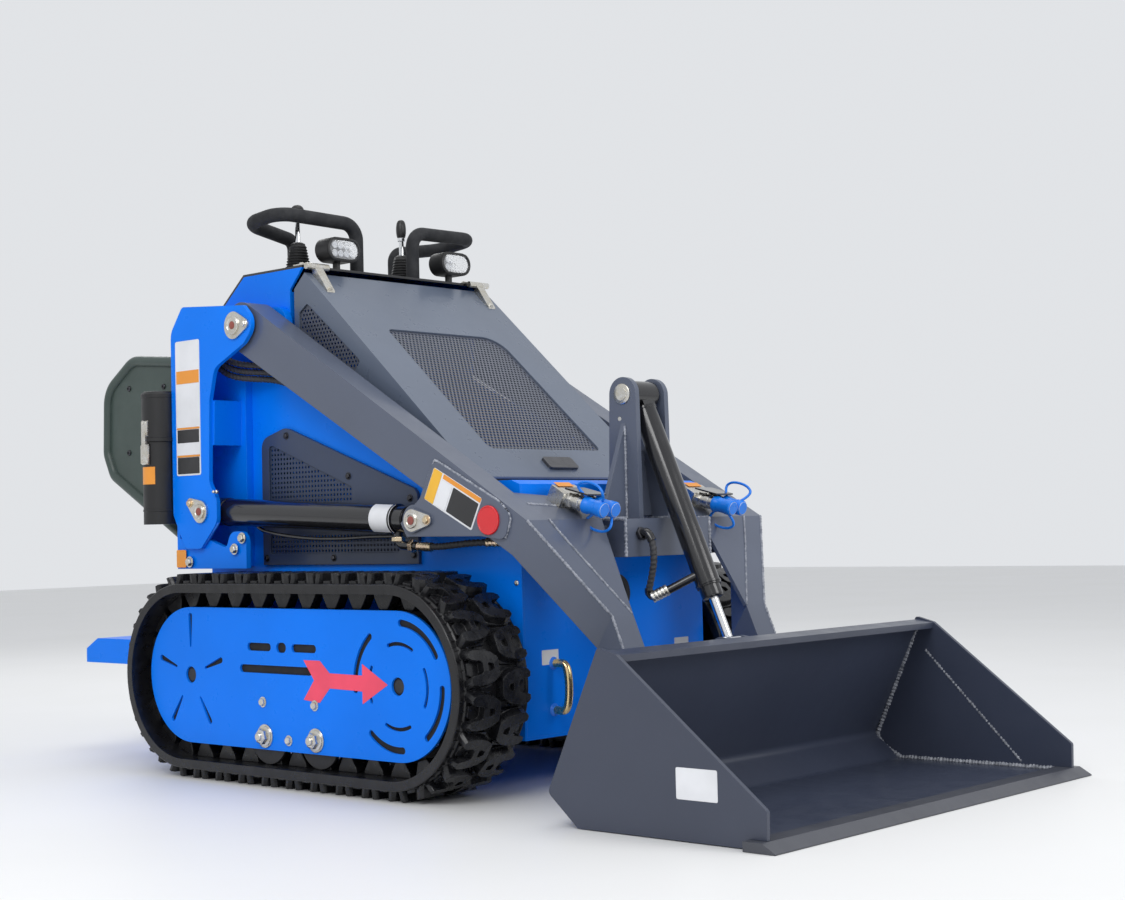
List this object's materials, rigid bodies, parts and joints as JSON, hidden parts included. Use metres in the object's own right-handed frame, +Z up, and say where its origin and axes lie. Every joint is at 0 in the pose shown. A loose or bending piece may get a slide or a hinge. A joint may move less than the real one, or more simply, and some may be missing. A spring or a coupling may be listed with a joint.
{
  "type": "compact track loader",
  "caption": "Stand-on compact track loader: rubber tracks, sloping hood, folded box lift arms with cylinders, tilt tower, bucket and rear standing platform.",
  "frame": {"origin": "centre of the machine's footprint box, on the ground", "axes": "+X forward to the bucket, +Y to the machine's left, +Z up"},
  "size_m": [2.16, 1.029, 1.212],
  "materials": {
    "blue_paint": "gloss enamel",
    "grey_paint": "satin enamel",
    "black_paint": "gloss enamel",
    "worn_steel": "satin enamel",
    "track_rubber": "matt",
    "soft_rubber": "matt",
    "hose_rubber": "matt",
    "chrome_rod": "polished",
    "zinc_steel": "zinc plated",
    "cast_wheel": "painted casting",
    "engine_grey": "plain casting",
    "black_plastic": "moulded",
    "guard_green": "satin enamel"
  },
  "bodies": {
    "chassis": {"body_hoses": "hose_rubber", "bottom_rollers": "cast_wheel", "chassis_tub": "blue_paint", "console_top": "black_paint", "control_levers": "soft_rubber", "document_tube": "black_plastic", "drive_sprockets": "cast_wheel", "engine_block": "engine_grey", "front_idlers": "cast_wheel", "front_panel": "blue_paint", "grab_loops": "zinc_steel", "hand_rails": "soft_rubber", "hood_hinges": "zinc_steel", "hood_seal": "soft_rubber", "operator_platform": "blue_paint", "port_grommet": "soft_rubber", "rear_top": "blue_paint", "rear_wall": "blue_paint", "side_guards": "guard_green", "tower_left": "blue_paint", "tower_pins": "zinc_steel", "tower_right": "blue_paint", "track_belt_left": "track_rubber", "track_belt_right": "track_rubber", "track_cover_left": "blue_paint", "track_cover_right": "blue_paint", "track_frames": "blue_paint", "vent_meshes": "grey_paint", "vent_panels": "grey_paint", "work_lights": "black_paint"},
    "hood": {"hood_skin": "grey_paint", "hood_grille": "grey_paint", "hood_latch": "zinc_steel", "hood_leaves": "zinc_steel"},
    "lift_arms": {"lift_arm_right": "grey_paint", "lift_arm_left": "grey_paint", "arm_lugs": "grey_paint", "arm_webs": "grey_paint", "hydraulic_couplers": "zinc_steel", "cross_tube": "grey_paint", "tilt_tower": "grey_paint", "tilt_top_pin": "zinc_steel"},
    "bucket": {"attach_plate": "grey_paint", "attach_pins": "zinc_steel", "bucket_shell": "grey_paint", "bucket_sides": "grey_paint", "cutting_edge": "worn_steel"},
    "right_lift_tube": {"lift_barrel_right": "black_paint"},
    "right_lift_piston": {"lift_rod_right": "chrome_rod"},
    "left_lift_tube": {"lift_barrel_left": "black_paint"},
    "left_lift_piston": {"lift_rod_left": "chrome_rod"},
    "tilt_tube": {"tilt_barrel": "black_paint", "tilt_hose": "hose_rubber"},
    "tilt_piston": {"tilt_rod": "chrome_rod"}
  },
  "joints": [
    {"name": "lift", "type": "hinge", "parent": "chassis", "child": "lift_arms", "pos_m": [-0.377, 0, 0.9375], "axis": [0, -1, 0], "range_deg": [0, 85]},
    {"name": "bucket_tilt", "type": "hinge", "parent": "lift_arms", "child": "bucket", "pos_m": [0.585, 0, 0.125], "axis": [0, -1, 0], "range_deg": [-115, 20]},
    {"name": "hood_hinge", "type": "hinge", "parent": "chassis", "child": "hood", "pos_m": [-0.262, 0, 1.06], "axis": [0, -1, 0], "range_deg": [0, 55]},
    {"name": "right_lift_tube_swing", "type": "hinge", "parent": "chassis", "child": "right_lift_tube", "pos_m": [-0.502, -0.326, 0.549], "axis": [0, -1, 0], "range_deg": [0, 58.85]},
    {"name": "right_lift_piston_slide", "type": "slide", "parent": "right_lift_tube", "child": "right_lift_piston", "axis": [0.9988, 0, -0.0497], "range_m": [0, 0.4046]},
    {"name": "left_lift_tube_swing", "type": "hinge", "parent": "chassis", "child": "left_lift_tube", "pos_m": [-0.502, 0.326, 0.549], "axis": [0, -1, 0], "range_deg": [0, 58.85]},
    {"name": "left_lift_piston_slide", "type": "slide", "parent": "left_lift_tube", "child": "left_lift_piston", "axis": [0.9988, 0, -0.0497], "range_m": [0, 0.4046]},
    {"name": "tilt_tube_swing", "type": "hinge", "parent": "lift_arms", "child": "tilt_tube", "pos_m": [0.412, 0, 0.752], "axis": [0, -1, 0], "range_deg": [-0.21, 1.16]},
    {"name": "tilt_piston_slide", "type": "slide", "parent": "tilt_tube", "child": "tilt_piston", "axis": [0.3955, 0, -0.9185], "range_m": [-0.0435, 0.2491]}
  ],
  "couplings": [
    {"joint": "right_lift_tube_swing", "follows": "lift", "ratio": 0.69223},
    {"joint": "right_lift_piston_slide", "follows": "lift", "m_per_rad": 0.27261},
    {"joint": "left_lift_tube_swing", "follows": "lift", "ratio": 0.69223},
    {"joint": "left_lift_piston_slide", "follows": "lift", "m_per_rad": 0.27261},
    {"joint": "tilt_tube_swing", "follows": "bucket_tilt", "ratio": -0.01},
    {"joint": "tilt_piston_slide", "follows": "bucket_tilt", "m_per_rad": -0.124}
  ]
}
